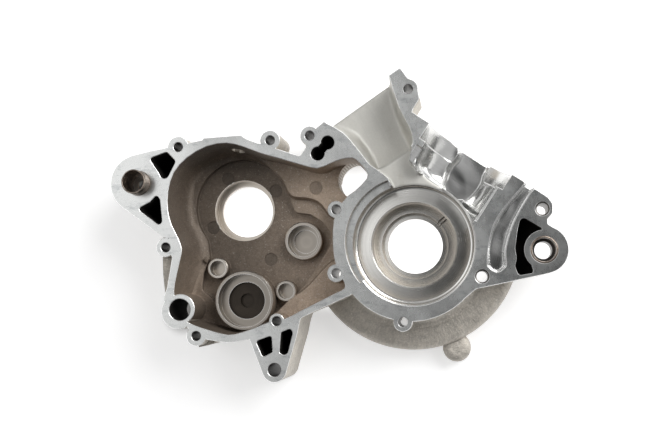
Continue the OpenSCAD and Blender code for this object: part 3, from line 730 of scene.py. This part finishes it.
def free_reach(start, step, rim, reach):
    """How far a point of the split face can move along a step before it meets the rim again"""
    for ax, ay, bx, by in rim:
        if min(ax, bx) > start.x + reach or max(ax, bx) < start.x - reach:
            continue
        if min(ay, by) > start.y + reach or max(ay, by) < start.y - reach:
            continue
        dx, dy = bx - ax, by - ay
        cross = step.x * dy - step.y * dx
        if abs(cross) < TINY ** 2:
            continue
        along_step = ((ax - start.x) * dy - (ay - start.y) * dx) / cross
        along_side = ((ax - start.x) * step.y - (ay - start.y) * step.x) / cross
        if TINY < along_step < reach and -TINY <= along_side <= 1 + TINY:
            reach = along_step
    return reach


def is_sharp_corner(vert, outer):
    """Whether the rim turns back on itself at a point"""
    nearby = [e.other_vert(vert) for e in vert.link_edges]
    ways = [(other.co - vert.co).normalized() for other in nearby if other in outer]
    return len(ways) == 2 and ways[0].dot(ways[1]) > SHARP


def pull_in_rim(vert, width, rim, ring_verts, outer):
    """Keeps the inner partners of a rim point on their own side of a narrow land or tip"""
    sides = [e.calc_length() for e in vert.link_edges if e.other_vert(vert) in outer]
    for edge in vert.link_edges:
        inner = edge.other_vert(vert)
        if inner in outer or inner not in ring_verts:
            continue
        step = (inner.co - vert.co).normalized()
        room = free_reach(vert.co, step, rim, LAND_REACH * width) * LAND_SHARE
        if is_sharp_corner(vert, outer):
            room = min(room, CORNER_SHARE * min(sides))
        inner.co = vert.co + step * min(edge.calc_length(), room)


def pull_back_folds(bm, ring, outer):
    """Moves inner points of the ring back to the rim where the split face would fold at a thin tip"""
    partner = {}
    for edge in {e for f in ring for e in f.edges}:
        first, second = edge.verts
        if (first in outer) != (second in outer):
            partner[second if first in outer else first] = first if first in outer else second
    for _ in range(FOLD_ROUNDS):
        folded = set()
        for corners in bm.calc_loop_triangles():
            a, b, c = (corner.vert for corner in corners)
            if corners[0].face.normal.z > LEVEL and (b.co - a.co).cross(c.co - a.co).z < 0:
                folded |= {v for v in (a, b, c) if v in partner}
        for vert in folded:
            vert.co = vert.co.lerp(partner[vert].co, FOLD_SHARE)


def break_face_edge(bm, width):
    """Chamfers the rim of the split face: the rim goes down by the width, and the face comes in by it"""
    face = split_face(bm)
    bmesh.ops.dissolve_limit(bm, angle_limit=FLAT_RIM,
                             verts=list(dict.fromkeys(v for f in face for v in f.verts)),
                             edges=list(dict.fromkeys(e for f in face for e in f.edges)), delimit=set())
    face = split_face(bm)
    rim_edges = [e for f in face for e in f.edges if any(g not in face for g in e.link_faces)]
    rim = [(e.verts[0].co.x, e.verts[0].co.y, e.verts[1].co.x, e.verts[1].co.y) for e in rim_edges]
    ring = set(bmesh.ops.inset_region(bm, faces=face, thickness=width, depth=0.0, use_even_offset=False,
                                      use_boundary=True)["faces"])
    ring_verts = {v for f in ring for v in f.verts}
    outer = {v for v in ring_verts if any(f not in ring and f not in face for f in v.link_faces)}
    for vert in outer:
        pull_in_rim(vert, width, rim, ring_verts, outer)
    pull_back_folds(bm, ring, outer)
    for vert in outer:
        vert.co.z -= width
    return ring


def smooth_by_angle(bm, angle):
    """Joins faces that lie flat to each other, and shades edges flatter than an angle smooth"""
    bmesh.ops.dissolve_limit(bm, angle_limit=FLAT_SKIN, verts=bm.verts, edges=bm.edges,
                             delimit={"MATERIAL"})
    for face in bm.faces:
        face.smooth = True
    for edge in bm.edges:
        edge.smooth = len(edge.link_faces) == 2 and edge.calc_face_angle(0.0) < angle


def spun(profile, at, steps):
    """A closed ring turned from its profile of (radius, height) points, in millimetres"""
    bm = bmesh.new()
    verts = [bm.verts.new((at[0] * MM + r * MM, at[1] * MM, z * MM)) for r, z in profile]
    edges = [bm.edges.new((a, b)) for a, b in zip(verts, verts[1:] + verts[:1])]
    bmesh.ops.spin(bm, geom=verts + edges, cent=(at[0] * MM, at[1] * MM, 0), axis=(0, 0, 1), angle=math.tau,
                   steps=steps, use_merge=True)
    bmesh.ops.recalc_face_normals(bm, faces=bm.faces)
    return bm


def placed_mesh(name, bm, materials):
    """An object at the origin that holds a finished mesh with its materials"""
    mesh = bpy.data.meshes.new(name)
    bm.to_mesh(mesh)
    bm.free()
    for material in materials:
        mesh.materials.append(material)
    placed = bpy.data.objects.new(name, mesh)
    bpy.context.scene.collection.objects.link(placed)
    return placed


def finished_piece(name, bm, materials):
    """A piece of the part; nothing moves, so it rides on the root"""
    piece = placed_mesh(name, bm, materials)
    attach(piece, "root")
    return piece


# Settings

def colour_setting(name, description, default):
    return FloatVectorProperty(name=name, description=description, default=default, subtype="COLOR", size=3,
                               min=0.0, max=1.0)


class CrankcaseLook(bpy.types.PropertyGroup):
    """Sizes and colours of the part's finishes"""
    edge_width: FloatProperty(name="Edge Width",
                              description="Width of the bright broken edge round the split face",
                              default=0.4 * MM, min=0.05 * MM, max=1.0 * MM, unit="LENGTH", precision=5)
    smooth_angle: FloatProperty(name="Smooth Angle", description="Edges flatter than this are shaded smooth",
                                default=math.radians(32), min=0.0, max=math.pi, subtype="ANGLE")
    bush_steps: IntProperty(name="Bush Steps", description="Segments round each mount bush", default=96,
                            min=24, max=256)
    face_colour: colour_setting("Split Face", "Lapped aluminium of the split face", (0.80, 0.81, 0.80))
    edge_colour: colour_setting("Broken Edge", "Bright edge round the split face", (0.90, 0.90, 0.89))
    bore_colour: colour_setting("Crank Bores", "Turned aluminium of the crank pocket", (0.77, 0.76, 0.73))
    seat_colour: colour_setting("Gearbox Seats", "Turned aluminium of the bearing seats", (0.58, 0.53, 0.47))
    bright_colour: colour_setting("Cylinder Mouth", "Bright milled aluminium", (0.80, 0.80, 0.79))
    duct_colour: colour_setting("Intake Duct", "Satin aluminium of the duct", (0.70, 0.69, 0.65))
    cavity_colour: colour_setting("Gearbox Skin", "Casting skin inside the gearbox", (0.215, 0.172, 0.135))
    cast_colour: colour_setting("Outer Skin", "Casting skin of the outside", (0.60, 0.56, 0.50))
    sparkle_colour: colour_setting("Sparkle", "Small bright points of the casting skin", (0.80, 0.76, 0.70))
    # The holes' tint is dark as painted shade
    hole_shade_colour: colour_setting("Holes", "Drilled holes", (0.15, 0.14, 0.13))
    plate_colour: colour_setting("Seat Plate", "Dark plate in the drum seat", (0.055, 0.044, 0.034))
    bush_colour: colour_setting("Bush Steel", "Oiled steel of the mount bushes", (0.36, 0.30, 0.25))
    bush_dark_colour: colour_setting("Bush Stain", "Darker stains on the bushes", (0.14, 0.11, 0.09))


class CrankcaseStudio(bpy.types.PropertyGroup):
    """The studio that the part is shown in"""
    floor_colour: colour_setting("Floor", "Colour of the studio floor", (0.76, 0.76, 0.76))
    key_power: FloatProperty(name="Key Light", description="Power of the soft light at the upper right",
                             default=19.0, min=0.0, max=60.0, unit="POWER")
    lens: FloatProperty(name="Lens", description="Focal length of the camera",
                        default=FOCAL_PIXELS / PICTURE_WIDTH * SENSOR_WIDTH, min=10.0, max=300.0,
                        subtype="DISTANCE_CAMERA")


# Operators

class CRANKCASE_OT_make_casting(bpy.types.Operator):
    """Makes the casting with broken edges and gives each face its finish"""
    bl_idname = "crankcase.make_casting"
    bl_label = "Make Casting"

    def execute(self, context):
        look = context.scene.crankcase_look
        finishes = make_finishes(look)
        slots = list(finishes)
        bm = closed_copy("crankcase_half")
        unfold_duct_floor(bm)
        edge_ring = break_face_edge(bm, look.edge_width)
        bm.normal_update()
        for face in bm.faces:
            spot = Spot(face.calc_center_median() / MM, face.normal)
            face.material_index = slots.index("broken_edge" if face in edge_ring else finish_at(spot))
        smooth_by_angle(bm, look.smooth_angle)
        piece = finished_piece("casting", bm, finishes.values())
        piece.modifiers.new("even_normals", "WEIGHTED_NORMAL").keep_sharp = True
        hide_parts("crankcase_half")
        return {"FINISHED"}


class CRANKCASE_OT_make_bushes(bpy.types.Operator):
    """Makes the steel bushes of the rear and front mounts"""
    bl_idname = "crankcase.make_bushes"
    bl_label = "Make Mount Bushes"

    def execute(self, context):
        look = context.scene.crankcase_look
        steel = bush_steel(look)
        for ring, name, profile, at in (("rear_dowel_ring", "rear_dowel_bush", REAR_BUSH, REAR_MOUNT),
                                        ("front_mount_ring", "front_mount_bush", FRONT_BUSH, FRONT_MOUNT)):
            bm = spun(profile, at, look.bush_steps)
            smooth_by_angle(bm, look.smooth_angle)
            piece = finished_piece(ring, bm, [steel])
            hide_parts(name)
        return {"FINISHED"}


class CRANKCASE_OT_set_studio(bpy.types.Operator):
    """Lays the floor, lights the room and places the camera"""
    bl_idname = "crankcase.set_studio"
    bl_label = "Set Studio"

    def execute(self, context):
        scene = context.scene
        studio = scene.crankcase_studio
        scene.view_settings.view_transform = "Standard"
        lay_floor(studio.floor_colour)
        scene.world = room_light()
        hang_key_light(scene, studio.key_power)
        place_camera(scene, studio.lens)
        return {"FINISHED"}


# Studio

def lay_floor(colour):
    """A wide white floor, just under the part"""
    bm = bmesh.new()
    bmesh.ops.create_grid(bm, x_segments=1, y_segments=1, size=FLOOR_HALF_WIDTH)
    bmesh.ops.translate(bm, verts=bm.verts, vec=(0, 0, -CASE_DEPTH - FLOOR_GAP))
    floor = placed_mesh("studio_floor", bm, [floor_white(colour)])


def floor_white(colour):
    """White for the rays that show the background: full under the part as a painted pool of light, so that
    its open bores show white, and full far from the part;
    half near it, where the floor carries its shadow, and dimmed under the shift shaft's bore as a painted
    shadow"""
    shader = Shader("studio_floor")
    camera, mirrored, through = (shader.node("ShaderNodeLightPath", {}, (), out=f"Is {kind} Ray")
                                 for kind in ("Camera", "Glossy", "Transmission"))
    x, y = shader.axes("XY")
    painted_light_under_part = 1.0 - (((x + 45.0) / 150.0) ** 2.0 + ((y - 8.0) / 62.0) ** 2.0).over(0.5, 1.0)
    beyond = distance_to(x, y, (-60.0, 0.0)).over(230.0, 420.0)
    painted_shaft_shadow = distance_to(x, y, (-184.0, -51.0)).over(20.0, 9.0)
    glow = camera.max(mirrored).max(through) * (0.5 + 0.5 * painted_light_under_part.max(beyond) - 0.42 * painted_shaft_shadow)
    return shader.surface(Base_Color=(*colour, 1.0), Roughness=1.0, Specular_IOR_Level=0.0,
                          Emission_Color=shader.grey(glow), Emission_Strength=1.0)


def room_light():
    """A dim room with a bright panel overhead on the left, and light walls; white where it is seen"""
    shader = Shader("studio", bpy.data.worlds, "Generated")
    right, ahead, rise = shader.parts("XYZ")
    left, back = -right, -ahead
    panel = 0.42 * left.over(-0.04, 0.14) + 0.75 * left.over(0.17, 0.34)
    panel = panel * (1.0 - left.over(0.55, 0.85)) * (1.0 - ahead.abs().over(0.3, 0.7))
    panel = panel * (1.0 - 0.35 * back.over(-0.05, 0.2))
    overhead = 0.04 + 1.15 * panel + 0.5 * right.over(0.3, 0.6) + 0.35 * ahead.over(0.1, 0.5)
    overhead = overhead + 0.25 * left.over(0.4, 0.8)
    walls = 0.55 - 0.3 * back.over(0.2, 0.9)
    low = 1.0 - rise.over(0.05, 0.45)
    seen = shader.node("ShaderNodeLightPath", {}, (), out="Is Camera Ray")
    level = (overhead * (1.0 - low) + walls * low).max(seen)
    light = shader.node("ShaderNodeBackground", {}, {"Color": shader.grey(level)})
    return shader.finish(light, "ShaderNodeOutputWorld")


def hang_key_light(scene, power):
    """The soft square light at the upper right"""
    lamp = bpy.data.lights.new("key_light", "AREA")
    lamp.shape = "SQUARE"
    lamp.size = KEY_WIDTH
    lamp.energy = power
    light = bpy.data.objects.new("key_light", lamp)
    place = Vector(KEY_PLACE)
    turn = (place - Vector(KEY_TARGET)).to_track_quat("Z", "Y").to_matrix().to_4x4()
    light.matrix_world = Matrix.Translation(place) @ turn
    scene.collection.objects.link(light)


def place_camera(scene, focal_length):
    """The photograph's camera"""
    lens = bpy.data.cameras.new("camera")
    lens.lens = focal_length
    lens.sensor_width = SENSOR_WIDTH
    lens.clip_start = 0.01
    camera = bpy.data.objects.new("camera", lens)
    turn = Matrix((CAMERA_RIGHT, CAMERA_UP, CAMERA_BACK)).transposed().to_4x4()
    camera.matrix_world = Matrix.Translation(CAMERA_PLACE) @ turn
    scene.collection.objects.link(camera)
    scene.camera = camera


class CRANKCASE_PT_tools(bpy.types.Panel):
    """Tools and settings of the crankcase half"""
    bl_idname = "CRANKCASE_PT_tools"
    bl_label = "Crankcase Half"
    bl_space_type = "VIEW_3D"
    bl_region_type = "UI"
    bl_category = "Crankcase"

    def draw(self, context):
        layout = self.layout
        for operator in (CRANKCASE_OT_make_casting, CRANKCASE_OT_make_bushes, CRANKCASE_OT_set_studio):
            layout.operator(operator.bl_idname)
        for group in (context.scene.crankcase_look, context.scene.crankcase_studio):
            column = layout.column()
            for key in group.__annotations__:
                column.prop(group, key)


CLASSES = (CrankcaseLook, CrankcaseStudio, CRANKCASE_OT_make_casting, CRANKCASE_OT_make_bushes,
           CRANKCASE_OT_set_studio, CRANKCASE_PT_tools)


def register():
    for cls in CLASSES:
        bpy.utils.register_class(cls)
    bpy.types.Scene.crankcase_look = PointerProperty(type=CrankcaseLook)
    bpy.types.Scene.crankcase_studio = PointerProperty(type=CrankcaseStudio)


def unregister():
    del bpy.types.Scene.crankcase_studio
    del bpy.types.Scene.crankcase_look
    for cls in reversed(CLASSES):
        bpy.utils.unregister_class(cls)


def main():
    register()
    bpy.ops.crankcase.make_casting()
    bpy.ops.crankcase.make_bushes()
    bpy.ops.crankcase.set_studio()


if __name__ == "__main__":
    main()
